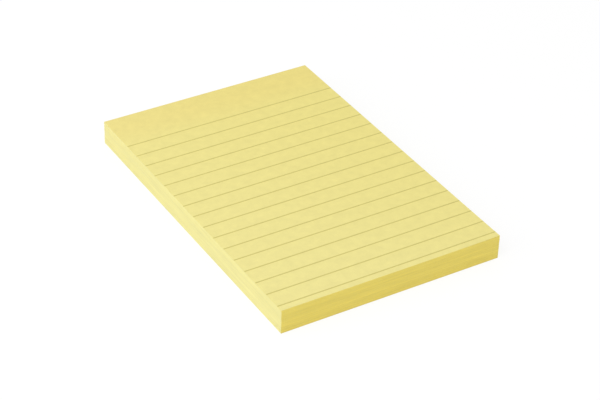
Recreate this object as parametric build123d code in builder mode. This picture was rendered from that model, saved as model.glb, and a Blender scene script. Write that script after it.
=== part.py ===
from build123d import *
import os

# Pad of ruled sticky notes, glued along one short edge and held on a backing sheet.
# All sizes are in millimetres.
# The origin is the middle of the underside. +Y points to the glued edge and +Z up.

# Driving dimensions
pad_width = 101.6
pad_length = 152.4
sheet_count = 100
sheet_thickness = 0.104
air_gap = 0.004
adhesive_width = 18.0
adhesive_thickness = 0.02
backing_thickness = 0.1
header_depth = 22.5
footer_least = 2.5
rule_pitch = 8.45
rule_width = 0.6
ink_depth = 0.02
cut_overrun = 1.0

# Heights, from the table upwards
adhesive_base = backing_thickness
stack_base = adhesive_base + adhesive_thickness
leaf_pitch = sheet_thickness + air_gap
stack_height = sheet_count * leaf_pitch - air_gap
stack_top = stack_base + stack_height

# Places along the pad
glued_edge = pad_length / 2
free_edge = -pad_length / 2
free_length = pad_length - adhesive_width

# Ruling, counted from the blank header towards the free edge
ruled_length = pad_length - header_depth - footer_least
rule_count = int(ruled_length / rule_pitch) + 1
rule_places = [
    (glued_edge - header_depth - number * rule_pitch, stack_top)
    for number in range(rule_count)
]


def rule_sections(mode):
    """Cross-sections of the printed rules, with their tops level with the first sheet."""
    with Locations(*rule_places):
        Rectangle(rule_width, ink_depth, align=(Align.CENTER, Align.MAX), mode=mode)


# Backing sheet that the last note is stuck to
with BuildPart() as backing_sheet:
    with BuildSketch(Plane.XY):
        Rectangle(pad_width, pad_length)
    extrude(amount=backing_thickness)

# Band of adhesive under the last note, along the glued edge
with BuildPart() as adhesive_strip:
    with BuildSketch(Plane.XY.offset(adhesive_base)):
        with Locations((0, glued_edge)):
            Rectangle(pad_width, adhesive_width, align=(Align.CENTER, Align.MAX))
    extrude(amount=adhesive_thickness)

# The notes, drawn from the side as a comb: one leaf for each sheet, joined in the glued band.
# Each slot is the air between two sheets, open at the free edge and at both sides.
with BuildPart() as note_sheets:
    with BuildSketch(Plane.YZ):
        with Locations((0, stack_base)):
            Rectangle(pad_length, stack_height, align=(Align.CENTER, Align.MIN))
        with Locations((free_edge - cut_overrun, stack_base + stack_height / 2)):
            with GridLocations(0, leaf_pitch, 1, sheet_count - 1):
                Rectangle(
                    free_length + cut_overrun,
                    air_gap,
                    align=(Align.MIN, Align.CENTER),
                    mode=Mode.SUBTRACT,
                )
        rule_sections(Mode.SUBTRACT)
    extrude(amount=pad_width / 2, both=True)

# Printed rules across the first sheet, from side to side
with BuildPart() as ruled_lines:
    with BuildSketch(Plane.YZ):
        rule_sections(Mode.ADD)
    extrude(amount=pad_width / 2, both=True)

backing_sheet.part.label = "backing_sheet"
adhesive_strip.part.label = "adhesive_strip"
note_sheets.part.label = "note_sheets"
ruled_lines.part.label = "ruled_lines"

os.makedirs("parts", exist_ok=True)
export_step(backing_sheet.part, "parts/backing_sheet.step")
export_step(adhesive_strip.part, "parts/adhesive_strip.step")
export_step(note_sheets.part, "parts/note_sheets.step")
export_step(ruled_lines.part, "parts/ruled_lines.step")
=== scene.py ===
"""Pad of ruled yellow sticky notes on a white sweep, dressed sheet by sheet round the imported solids."""

import math

import bpy
import numpy as np
from mathutils import Matrix, Vector


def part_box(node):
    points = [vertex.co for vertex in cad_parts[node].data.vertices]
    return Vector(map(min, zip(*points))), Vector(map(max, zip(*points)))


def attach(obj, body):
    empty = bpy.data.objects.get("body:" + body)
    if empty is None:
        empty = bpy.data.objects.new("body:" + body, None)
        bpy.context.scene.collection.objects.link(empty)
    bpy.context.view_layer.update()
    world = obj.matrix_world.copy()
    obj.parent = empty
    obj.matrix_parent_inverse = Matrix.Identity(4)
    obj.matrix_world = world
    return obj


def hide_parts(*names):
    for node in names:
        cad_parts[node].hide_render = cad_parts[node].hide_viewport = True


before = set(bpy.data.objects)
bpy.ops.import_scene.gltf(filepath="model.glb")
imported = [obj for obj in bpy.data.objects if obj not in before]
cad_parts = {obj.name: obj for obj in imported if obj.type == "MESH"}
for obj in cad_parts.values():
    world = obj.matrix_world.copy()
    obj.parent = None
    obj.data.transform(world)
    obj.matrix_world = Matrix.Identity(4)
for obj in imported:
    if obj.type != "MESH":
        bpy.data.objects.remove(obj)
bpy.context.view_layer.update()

# Units, in metres
mm = 0.001
micron = 0.000001

# Unevenness of the sheets, which are flat and square in the solids: how far the free end and its
# sides rise, the height of the ripple, and the lift and reach of the first sheet's curled corners
fan_rise = 0.05 * mm
side_rise = 0.05 * mm
ripple_rise = 0.012 * mm
left_curl = 0.05 * mm
right_curl = 0.12 * mm
curl_reach = 42 * mm

# Ripple of a sheet, in radians: from its middle to its side, at its middle, and along its free part
ripple_aside = 2.3
ripple_start = 1.0
ripple_along = 5.1

# Edges of the stack: their slow drift, how far each sheet strays and turns by itself, and the
# drift's waves in radians over the stack's height. Each has a long wave, its start and a short one.
edge_drift = 0.05 * mm
edge_jitter = 0.014 * mm
turn_jitter = math.radians(0.008)
stack_seed = 11
drift_across = (4.1, 0.6, 17)
drift_along = (3.3, 2.4, 13)
short_wave_share = 0.4

# Cells across and along a sheet
stack_cells = (10, 16)
note_cells = (24, 36)
rule_cells = (24, 1)

# Edges of the first sheet steeper than this stay sharp
sharp_turn = math.radians(30)

# Printed rules: how far the ink stands above the first sheet and reaches into it
ink_above = 6 * micron
ink_below = 12 * micron

# Paper and ink, as linear colours, with the notes where they are palest, at the front left corner, where
# a sheen is painted into them
note_yellow = (0.868, 0.781, 0.308)
edge_gold = (0.860, 0.709, 0.153)
# The left edge's colour is a paler copy of the gold: painted light, for the lamps that fall on that side
edge_gold_painted_lit = (0.801, 0.749, 0.331)
rule_olive = (0.64, 0.56, 0.17)
backing_cream = (0.86, 0.80, 0.60)
adhesive_haze = (0.84, 0.79, 0.52)
sweep_white = (0.90, 0.90, 0.90)

# Tints that deepen the notes' yellow, as factors of it: one sets in over the glued band, and the
# other grows slowly over the whole sheet, from the front left corner to the rear right one.
# That slow one is painted sheen: it leaves the sheet palest at the front left, as light glancing off it
# there would
glued_tint = (1.0, 0.967, 0.9325)
sheen_fade_tint = (1.0, 0.978, 0.84)

# How far to each side of the glued band's edge its tint sets in, and the way that each tint grows
glue_fade = 10.5 * mm
glued_way = Vector((0, 1, 0))
sheen_fade_way = Vector((3, 2, 0)).normalized()

# How far each colour strays to both sides of itself, as a share of it
paper_contrast = 0.17
edge_contrast = 0.26
ink_contrast = 0.25
backing_contrast = 0.03
adhesive_contrast = 0.05

# Roughness where the tone is darkest and lightest
paper_roughness = (0.74, 0.90)
edge_roughness = (0.62, 0.82)
ink_roughness = (0.66, 0.78)
backing_roughness = (0.48, 0.62)
adhesive_roughness = (0.30, 0.60)

# Gloss, as the specular level
paper_gloss = 0.3
gold_gloss = 0.2
painted_lit_edge_gloss = 0.5
ink_gloss = 0.3
backing_gloss = 0.4

# Grain, in features per metre across the pad, along it and up
cloud_grain = (260, 260, 260)
fibre_grain_along = (2600, 420, 900)
fibre_grain_across = (380, 2300, 900)
fleck_grain = (5200, 5200, 5200)
streak_grain = (22, 22, 7000)
bundle_grain = (55, 55, 800)
knife_grain = (3800, 3800, 60)
edge_fleck_grain = (6500, 6500, 6500)
ink_grain = (450, 700, 900)
backing_cloud_grain = (160, 160, 160)
backing_fibre_grain = (500, 2200, 900)
bead_grain = (9000, 9000, 9000)
patch_grain = (700, 700, 700)

# Full depth of each relief, and how strongly it turns the light
paper_relief = (20 * micron, 0.8)
edge_relief = (12 * micron, 0.7)
backing_relief = (4 * micron, 0.5)
adhesive_relief = (10 * micron, 0.6)

# Light. Each square lamp has its direction from the pad, its distance and side in metres, and the
# share of its own colour that it gives a surface that faces it.
world_share = 0.66
lamps = {
    "key_lamp": {"direction": Vector((-0.55, -0.35, 0.76)), "distance": 2.0, "side": 1.2, "share": 0.36},
    "side_lamp": {"direction": Vector((-0.90, 0.10, 0.42)), "distance": 0.6, "side": 0.3, "share": 0.18},
}

# Camera, as found from the edges of the pad in the photograph. Its focal length is in pixels of a
# picture of that width, and the sensor's width is in millimetres.
view_azimuth = math.radians(-31.82)
view_elevation = math.radians(34.60)
view_roll = math.radians(1.81)
view_distance = 804.9 * mm
view_target = Vector((-2.18 * mm, -8.58 * mm, 5 * mm))
focal_pixels = 1935.8
picture_width = 600
sensor_width = 36.0

# White sweep under the pad, a hair below it so that no two faces lie in one plane. What the camera
# sees of it is this share of a plain white, so bright that only the pad's shadow is less than white.
sweep_side = 6.0
sweep_drop = 20 * micron
sweep_lift = 0.8
sweep_bright = 1.046

# Sides of a sheet, and the part of the bake map that each one gets: left, bottom, right, top.
# Hidden faces share a small part, so that the cut edges or the first sheet's face stay sharp.
face_up, face_down, front_end, right_side, rear_end, left_side = range(6)
stack_map = {
    face_up: (0.70, 0.02, 0.98, 0.20),
    face_down: (0.70, 0.02, 0.98, 0.20),
    front_end: (0.00, 0.01, 0.666, 0.23),
    rear_end: (0.00, 0.26, 0.666, 0.48),
    left_side: (0.00, 0.51, 1.00, 0.73),
    right_side: (0.00, 0.76, 1.00, 0.98),
}
note_map = {
    face_up: (0.00, 0.00, 0.985, 0.66),
    face_down: (0.00, 0.68, 0.45, 0.98),
    front_end: (0.50, 0.70, 0.98, 0.71),
    rear_end: (0.50, 0.76, 0.98, 0.77),
    left_side: (0.50, 0.82, 0.98, 0.83),
    right_side: (0.50, 0.88, 0.98, 0.89),
}


def node_points(name):
    """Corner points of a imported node, one row each, in metres."""
    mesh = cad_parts[name].data
    points = np.empty(len(mesh.vertices) * 3, np.float32)
    mesh.vertices.foreach_get("co", points)
    return points.reshape(-1, 3).astype(float)


def pairs_of(values):
    """The different values in rising order, two by two: the low and the high side of each thing."""
    return np.unique(values.round(7)).reshape(-1, 2)


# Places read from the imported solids
pad_low, pad_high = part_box("note_sheets")
pad_width = pad_high.x - pad_low.x
glue_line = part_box("adhesive_strip")[0].y
free_length = glue_line - pad_low.y
sheet_points = node_points("note_sheets")
sheet_levels = pairs_of(sheet_points[sheet_points[:, 1] < pad_low.y + micron, 2])
rule_bands = pairs_of(node_points("ruled_lines")[:, 1])


# Colour sockets of a Mix node
mix_first, mix_second = 6, 7


class Value:
    """A number or a colour on a shader socket. A sum of such values adds its Math nodes."""

    def __init__(self, shader, socket):
        self.shader = shader
        self.socket = socket

    def maths(self, operation, first, second):
        return self.shader.node("ShaderNodeMath", {"operation": operation}, {0: first, 1: second})

    def __add__(self, other):
        return self.maths("ADD", self, other)

    def __mul__(self, other):
        return self.maths("MULTIPLY", self, other)

    __radd__ = __add__
    __rmul__ = __mul__


class Shader:
    """The node tree of a material or a world, written as expressions."""

    def __init__(self, owner):
        owner.use_nodes = True
        self.owner = owner
        self.tree = owner.node_tree
        self.tree.nodes.clear()

    def node(self, kind, settings=None, sockets=None, output=0):
        """Adds a node: its settings first, then the value or link of each socket. Gives one output."""
        made = self.tree.nodes.new(kind)
        for name, value in (settings or {}).items():
            setattr(made, name, value)
        for name, value in (sockets or {}).items():
            if isinstance(value, Value):
                self.tree.links.new(value.socket, made.inputs[name])
            else:
                made.inputs[name].default_value = value
        return Value(self, made.outputs[output]) if len(made.outputs) else None

    def noise(self, grain, detail=2.0, roughness=0.5):
        """Cloudy noise from 0 to 1 on the object's own place, with its grain in features per metre."""
        where = self.node("ShaderNodeTexCoord", output="Object")
        scaled = self.node("ShaderNodeVectorMath", {"operation": "MULTIPLY"}, {0: where, 1: grain})
        sockets = {"Vector": scaled, "Scale": 1.0, "Detail": detail, "Roughness": roughness}
        return self.node("ShaderNodeTexNoise", {}, sockets)

    def own(self, attribute):
        """A number that each face of the piece carries."""
        return self.node("ShaderNodeAttribute", {"attribute_name": attribute}, output="Fac")

    def rise_along(self, way, start, stop):
        """0 up to one place along a direction and 1 from the other on, with a smooth rise between."""
        where = self.node("ShaderNodeTexCoord", output="Object")
        product = {"operation": "DOT_PRODUCT"}
        along = self.node("ShaderNodeVectorMath", product, {0: where, 1: way}, output="Value")
        sockets = {"Value": along, "From Min": start, "From Max": stop}
        return self.node("ShaderNodeMapRange", {"interpolation_type": "SMOOTHSTEP"}, sockets)

    def blend(self, share, first, second, kind="MIX"):
        """The first colour at share 0, and at share 1 the second, or their product for MULTIPLY."""
        settings = {"data_type": "RGBA", "blend_type": kind}
        sockets = {0: share, mix_first: first, mix_second: second}
        return self.node("ShaderNodeMix", settings, sockets, output=2)

    def tinted(self, colour, share, tint):
        """The colour as it is at share 0, and multiplied by the tint at share 1."""
        return self.blend(share, colour, tint + (1.0,), kind="MULTIPLY")

    def shaded(self, colour, contrast, tone):
        """A linear colour that is darker by the contrast at tone 0 and lighter by it at tone 1."""
        dark = tuple((1 - contrast) * part for part in colour) + (1.0,)
        light = tuple((1 + contrast) * part for part in colour) + (1.0,)
        return self.blend(tone, dark, light)

    def bump(self, height, relief):
        """Surface normal over a height from 0 to 1, with the relief's full depth and strength."""
        depth, strength = relief
        sockets = {"Height": height, "Distance": depth, "Strength": strength}
        return self.node("ShaderNodeBump", {}, sockets)

    def seen_directly(self):
        """1 for what the camera sees itself, mirrored or through glass, and 0 for light on surfaces."""
        camera = self.node("ShaderNodeLightPath", output="Is Camera Ray")
        glossy = self.node("ShaderNodeLightPath", output="Is Glossy Ray")
        through = self.node("ShaderNodeLightPath", output="Is Transmission Ray")
        return camera + glossy + through

    def end(self, surface, kind="ShaderNodeOutputMaterial"):
        """Links a surface to the tree's output."""
        self.node(kind, {}, {"Surface": surface})
        return self.owner

    def principled(self, sockets):
        """Ends the tree in a Principled surface with these values and links."""
        return self.end(self.node("ShaderNodeBsdfPrincipled", {}, sockets, output="BSDF"))


def new_shader(name):
    """An empty shader for a new material."""
    return Shader(bpy.data.materials.new(name))


def between(limits, tone):
    """The low limit at tone 0 and the high one at tone 1."""
    low, high = limits
    return low + tone * (high - low)


# In each finish below, the parts of a tone or of a relief are shares that add up to 1.


def uncoated_paper():
    """Matte writing paper: soft clouds of thicker and thinner stock, short fibres that lie both ways
    across each other, and a felt-like tooth. It is a little deeper over the glued band, and slowly
    deepens towards the rear right corner: a painted sheen leaves it palest at the front left."""
    shader = new_shader("uncoated_paper")
    cloud = shader.noise(cloud_grain, detail=3.0, roughness=0.6)
    fibres = (shader.noise(fibre_grain_along) + shader.noise(fibre_grain_across)) * 0.5
    fleck = shader.noise(fleck_grain, detail=1.0)
    tone = cloud * 0.45 + fibres * 0.3 + fleck * 0.25
    glued = shader.rise_along(glued_way, glue_line - glue_fade, glue_line + glue_fade)
    # Painted sheen: the paper is palest at the front left and deepens towards the rear right
    far = shader.rise_along(sheen_fade_way, sheen_fade_way.dot(pad_low), sheen_fade_way.dot(pad_high))
    plain = shader.shaded(note_yellow, paper_contrast, tone)
    over_band = shader.tinted(plain, glued, glued_tint)
    return shader.principled({
        "Base Color": shader.tinted(over_band, far, sheen_fade_tint),
        "Roughness": between(paper_roughness, tone),
        "Specular IOR Level": paper_gloss,
        "Normal": shader.bump(fibres * 0.6 + fleck * 0.4, paper_relief),
    })


def cut_edge(name, colour, gloss):
    """Guillotined edge of the stack: each sheet has its own tone, bundles of sheets make faint
    streaks along the edge, and the knife leaves fine marks across them."""
    shader = new_shader(name)
    streak = shader.noise(streak_grain)
    bundle = shader.noise(bundle_grain)
    mark = shader.noise(knife_grain)
    fleck = shader.noise(edge_fleck_grain, detail=1.0)
    tone = shader.own("sheet_tone") * 0.2 + streak * 0.2 + bundle * 0.4 + mark * 0.1 + fleck * 0.1
    return shader.principled({
        "Base Color": shader.shaded(colour, edge_contrast, tone),
        "Roughness": between(edge_roughness, tone),
        "Specular IOR Level": gloss,
        "Normal": shader.bump(streak * 0.4 + mark * 0.3 + fleck * 0.3, edge_relief),
    })


def ruling_ink():
    """Thin grey ink, olive because the yellow sheet shows through, in patches that took more or less
    of it and with fine specks."""
    shader = new_shader("ruling_ink")
    tone = shader.noise(ink_grain) * 0.5 + shader.noise(fleck_grain, detail=1.0) * 0.5
    return shader.principled({
        "Base Color": shader.shaded(rule_olive, ink_contrast, tone),
        "Roughness": between(ink_roughness, tone),
        "Specular IOR Level": ink_gloss,
    })


def release_paper():
    """Smooth backing paper with a faint sheen from its release coat."""
    shader = new_shader("release_paper")
    fibre = shader.noise(backing_fibre_grain)
    tone = shader.noise(backing_cloud_grain, detail=3.0, roughness=0.6) * 0.6 + fibre * 0.4
    return shader.principled({
        "Base Color": shader.shaded(backing_cream, backing_contrast, tone),
        "Roughness": between(backing_roughness, tone),
        "Specular IOR Level": backing_gloss,
        "Normal": shader.bump(fibre, backing_relief),
    })


def low_tack_adhesive():
    """Hazy adhesive coat made of tiny beads, thicker in some patches."""
    shader = new_shader("low_tack_adhesive")
    beads = shader.noise(bead_grain, detail=1.0)
    tone = beads * 0.5 + shader.noise(patch_grain) * 0.5
    return shader.principled({
        "Base Color": shader.shaded(adhesive_haze, adhesive_contrast, tone),
        "Roughness": between(adhesive_roughness, tone),
        "Normal": shader.bump(beads, adhesive_relief),
    })


def sweep_paper():
    """White sweep. What the camera sees of it is lifted towards white, and it keeps the pad's shadow."""
    shader = new_shader("sweep_paper")
    plain = shader.node("ShaderNodeBsdfDiffuse", {}, {"Color": sweep_white + (1.0,)})
    white = {"Color": (1, 1, 1, 1), "Strength": sweep_bright}
    bright = shader.node("ShaderNodeEmission", {}, white)
    lifted = shader.seen_directly() * sweep_lift
    return shader.end(shader.node("ShaderNodeMixShader", {}, {0: lifted, 1: plain, 2: bright}))


def rise_of(x, y, height_share):
    """How far a sheet stands over its flat place. The free end rises with the square of the distance
    from the glued band, more towards both sides, with a slow ripple on it, and all of it in
    proportion to the sheet's height in the stack."""
    free = np.clip((glue_line - y) / free_length, 0, 1)
    aside = 2 * x / pad_width
    ripple = np.sin(ripple_aside * aside + ripple_start) * np.sin(ripple_along * free)
    return height_share * (fan_rise * free**2 + side_rise * (free * aside) ** 2 + ripple_rise * ripple)


def curl_of(x, y):
    """How far the first sheet's free corners lift: the cube of how near a point is to its corner."""
    left_near = 1 - np.hypot(x - pad_low.x, y - pad_low.y) / curl_reach
    right_near = 1 - np.hypot(x - pad_high.x, y - pad_low.y) / curl_reach
    return left_curl * np.clip(left_near, 0, 1) ** 3 + right_curl * np.clip(right_near, 0, 1) ** 3


def drift_of(height, waves):
    """Slow drift of the stack's edges: a long sine wave over the height plus a weaker, shorter one."""
    long_wave, start, short_wave = waves
    weaker = short_wave_share * np.sin(short_wave * height)
    return edge_drift * (np.sin(long_wave * height + start) + weaker)


def grid_between(low_x, high_x, low_y, high_y, cells):
    """Even grid of x and y over a rectangle, as two arrays with a row for each step along it."""
    across = np.linspace(low_x, high_x, cells[0] + 1)
    along = np.linspace(low_y, high_y, cells[1] + 1)
    return np.meshgrid(across, along)


def slab_faces(cells):
    """Four-cornered faces of one slab on a grid, all facing outwards, and the side that each is on.
    The lower corners are numbered row by row and the upper ones follow them."""
    columns, rows = cells
    number = np.arange((rows + 1) * (columns + 1)).reshape(rows + 1, columns + 1)
    upper = number.size
    cell = np.stack([number[:-1, :-1], number[:-1, 1:], number[1:, 1:], number[1:, :-1]], -1)
    cell = cell.reshape(-1, 4)
    rims = {
        front_end: number[0, :],
        right_side: number[:, -1],
        rear_end: number[-1, ::-1],
        left_side: number[::-1, 0],
    }
    quads = [cell + upper, cell[:, ::-1]]
    sides = [np.full(len(cell), face_up), np.full(len(cell), face_down)]
    for side, rim in rims.items():
        start, stop = rim[:-1], rim[1:]
        quads.append(np.stack([start, stop, stop + upper, start + upper], -1))
        sides.append(np.full(len(start), side))
    return np.concatenate(quads), np.concatenate(sides)


def map_places(corners, sides, layout):
    """Place of each face corner on the bake map. A side's own two directions, as shares of the
    piece's box, fill the rectangle that the layout gives it. A sheet's length runs along the map."""
    low = corners.min((0, 1))
    share = (corners - low) / (corners.max((0, 1)) - low)
    x, y, z = share[..., 0], share[..., 1], share[..., 2]
    run = {face_up: (y, x), face_down: (y, x), left_side: (y, z), right_side: (y, z)}
    places = np.zeros(corners.shape[:2] + (2,))
    for side, (left, bottom, right, top) in layout.items():
        across, up = run.get(side, (x, z))
        on_side = (sides == side)[:, None]
        places[..., 0] = np.where(on_side, left + (right - left) * across, places[..., 0])
        places[..., 1] = np.where(on_side, bottom + (top - bottom) * up, places[..., 1])
    return places


def make_slabs(name, x, y, low, high, materials, layout=None, tones=0.5):
    """Piece made of closed slabs. Each slab lies between two heights over a grid of x and y, and the
    arrays hold one such grid for each slab. Materials are for the faces, the cut edges and the left
    edge, which faces the light: its material is a paler copy of the cut edges', with that light painted
    in. Tones are one for each slab, or one for all."""
    count, rows, columns = x.shape
    quads, sides = slab_faces((columns - 1, rows - 1))
    lower = np.stack([x, y, low], -1).reshape(count, -1, 3)
    upper = np.stack([x, y, high], -1).reshape(count, -1, 3)
    points = np.concatenate([lower, upper], 1).reshape(-1, 3)
    starts = np.arange(count)[:, None, None] * (2 * rows * columns)
    all_quads = (quads + starts).reshape(-1, 4)
    all_sides = np.tile(sides, count)
    mesh = bpy.data.meshes.new(name)
    mesh.from_pydata(points, [], all_quads)
    for material in materials:
        mesh.materials.append(material)
    slots = np.zeros(len(all_quads), np.int32)
    if len(materials) > 1:
        slots[np.isin(all_sides, (front_end, rear_end, right_side))] = 1
        # The left edge takes the paler copy of the cut edge, with the lamps' light on that side painted
        # in
        slots[all_sides == left_side] = 2
    mesh.polygons.foreach_set("material_index", slots)
    tone = mesh.attributes.new("sheet_tone", "FLOAT", "FACE")
    slab_tones = np.broadcast_to(tones, count).astype(np.float32)
    tone.data.foreach_set("value", np.repeat(slab_tones, len(quads)))
    if layout:
        places = map_places(points[all_quads], all_sides, layout)
        bake_map = mesh.uv_layers.new(name="OFBake")
        bake_map.uv.foreach_set("vector", places.astype(np.float32).ravel())
    mesh.update()
    piece = bpy.data.objects.new(name, mesh)
    bpy.context.scene.collection.objects.link(piece)
    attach(piece, "root")
    return piece


def make_stack(materials):
    """All sheets but the first, each a slab of its own. Up the stack their edges drift slowly, in
    proportion to the height, and each sheet strays and turns a little by itself."""
    levels = sheet_levels[:-1]
    count = len(levels)
    chance = np.random.default_rng(stack_seed)
    height = np.arange(count) / count
    stray = chance.normal(0, edge_jitter, (2, count))
    turn = chance.normal(0, turn_jitter, count)[:, None, None]
    flat_x, flat_y = grid_between(pad_low.x, pad_high.x, pad_low.y, pad_high.y, stack_cells)
    shift_x = drift_of(height, drift_across) * height + stray[0]
    shift_y = drift_of(height, drift_along) * height + stray[1]
    x = flat_x + shift_x[:, None, None] - turn * flat_y
    y = flat_y + shift_y[:, None, None] + turn * flat_x
    rise = rise_of(flat_x, flat_y, height[:, None, None])
    low = levels[:, 0, None, None] + rise
    high = levels[:, 1, None, None] + rise
    stack = make_slabs("sheet_stack", x, y, low, high, materials, stack_map, chance.random(count))
    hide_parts("note_sheets")


def make_first_note(materials):
    """The first sheet, by itself, with its free corners a little off the stack."""
    x, y = grid_between(pad_low.x, pad_high.x, pad_low.y, pad_high.y, note_cells)
    rise = rise_of(x, y, 1) + curl_of(x, y)
    low = sheet_levels[-1, 0] + rise
    high = sheet_levels[-1, 1] + rise
    note = make_slabs("first_note", x[None], y[None], low[None], high[None], materials, note_map)
    note.data.shade_smooth()
    note.data.set_sharp_from_angle(angle=sharp_turn)
    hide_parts("note_sheets")


def make_rules(material):
    """Printed rules across the first sheet: thin films of ink that follow its surface."""
    grids = [grid_between(pad_low.x, pad_high.x, low, high, rule_cells) for low, high in rule_bands]
    x, y = np.stack(grids, 1)
    surface = sheet_levels[-1, 1] + rise_of(x, y, 1) + curl_of(x, y)
    rules = make_slabs("printed_rules", x, y, surface - ink_below, surface + ink_above, [material])
    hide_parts("ruled_lines")


def dress_node(name, material):
    """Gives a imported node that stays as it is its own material."""
    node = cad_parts[name]
    node.data.materials.clear()
    node.data.materials.append(material)


def make_sweep():
    """Large white sheet that the pad lies on."""
    half = sweep_side / 2
    level = -sweep_drop
    corners = [(-half, -half, level), (half, -half, level), (half, half, level), (-half, half, level)]
    mesh = bpy.data.meshes.new("sweep")
    mesh.from_pydata(corners, [], [(0, 1, 2, 3)])
    mesh.materials.append(sweep_paper())
    sweep = bpy.data.objects.new("sweep", mesh)
    bpy.context.scene.collection.objects.link(sweep)


def light_world():
    """Even white light from all round. The camera sees it as white."""
    world = bpy.data.worlds.new("studio")
    bpy.context.scene.world = world
    shader = Shader(world)
    dim = shader.node("ShaderNodeBackground", {}, {"Color": (1, 1, 1, 1), "Strength": world_share})
    white = shader.node("ShaderNodeBackground", {}, {"Color": (1, 1, 1, 1), "Strength": 1.0})
    mixed = shader.node("ShaderNodeMixShader", {}, {0: shader.seen_directly(), 1: dim, 2: white})
    shader.end(mixed, "ShaderNodeOutputWorld")


def add_lamp(name, direction, distance, side, share):
    """Soft square lamp that points at the pad. A power of pi squared times the distance squared
    times the share gives a surface that faces it that share of its own colour."""
    data = bpy.data.lights.new(name, "AREA")
    data.shape = "SQUARE"
    data.size = side
    data.energy = share * math.pi**2 * distance**2
    lamp = bpy.data.objects.new(name, data)
    lamp.location = direction.normalized() * distance
    lamp.rotation_mode = "QUATERNION"
    lamp.rotation_quaternion = direction.to_track_quat("Z", "Y")
    bpy.context.scene.collection.objects.link(lamp)


def add_camera():
    """Camera on a sphere round its target, at the azimuth and elevation, turned by the roll."""
    back = Vector((
        math.sin(view_azimuth) * math.cos(view_elevation),
        -math.cos(view_azimuth) * math.cos(view_elevation),
        math.sin(view_elevation),
    ))
    level_right = Vector((0, 0, 1)).cross(back).normalized()
    level_up = back.cross(level_right)
    right = math.cos(view_roll) * level_right + math.sin(view_roll) * level_up
    up = math.cos(view_roll) * level_up - math.sin(view_roll) * level_right
    data = bpy.data.cameras.new("camera")
    data.sensor_width = sensor_width
    data.lens = focal_pixels / picture_width * sensor_width
    camera = bpy.data.objects.new("camera", data)
    turned = Matrix((right, up, back)).transposed().to_4x4()
    camera.matrix_world = Matrix.Translation(view_target + back * view_distance) @ turned
    bpy.context.scene.collection.objects.link(camera)
    bpy.context.scene.camera = camera


paper = uncoated_paper()
gold_edge = cut_edge("gold_edge", edge_gold, gold_gloss)
# The left edge is the same cut paper made paler and glossier: painted light from the lamps on that side
painted_lit_edge = cut_edge("painted_lit_edge", edge_gold_painted_lit, painted_lit_edge_gloss)
make_stack([paper, gold_edge, painted_lit_edge])
make_first_note([paper, gold_edge, painted_lit_edge])
make_rules(ruling_ink())
dress_node("backing_sheet", release_paper())
dress_node("adhesive_strip", low_tack_adhesive())
make_sweep()
light_world()
for name, values in lamps.items():
    add_lamp(name, **values)
add_camera()
bpy.context.scene.view_settings.view_transform = "Standard"
